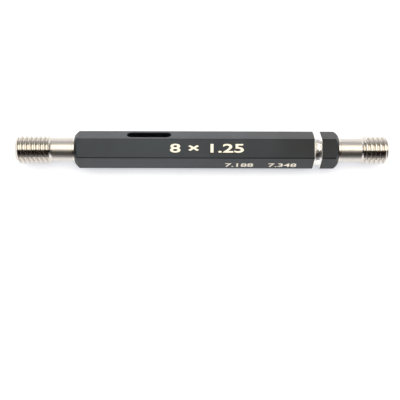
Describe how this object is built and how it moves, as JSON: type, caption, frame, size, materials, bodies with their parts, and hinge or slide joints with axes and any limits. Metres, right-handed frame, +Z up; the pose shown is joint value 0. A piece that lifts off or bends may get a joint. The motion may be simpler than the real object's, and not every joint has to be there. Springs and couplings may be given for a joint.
{
  "type": "thread plug gauge",
  "caption": "Double-ended screw thread plug gauge: hexagon handle with drift slot and marking groove, and a taper-held GO and NO-GO threaded member.",
  "frame": {"origin": "on the floor under the middle of the gauge, halfway between its two tips", "axes": "+X along the gauge's axis from the GO tip towards the NO-GO tip, +Z up, square to the flat that the handle lies on"},
  "size_m": [0.102, 0.0102, 0.009],
  "materials": {
    "blackened_steel": "semi-gloss black",
    "ground_steel": "hardened and ground, bright"
  },
  "bodies": {
    "root": {"handle": "blackened_steel", "go_member": "ground_steel", "no_go_member": "ground_steel"}
  },
  "joints": []
}
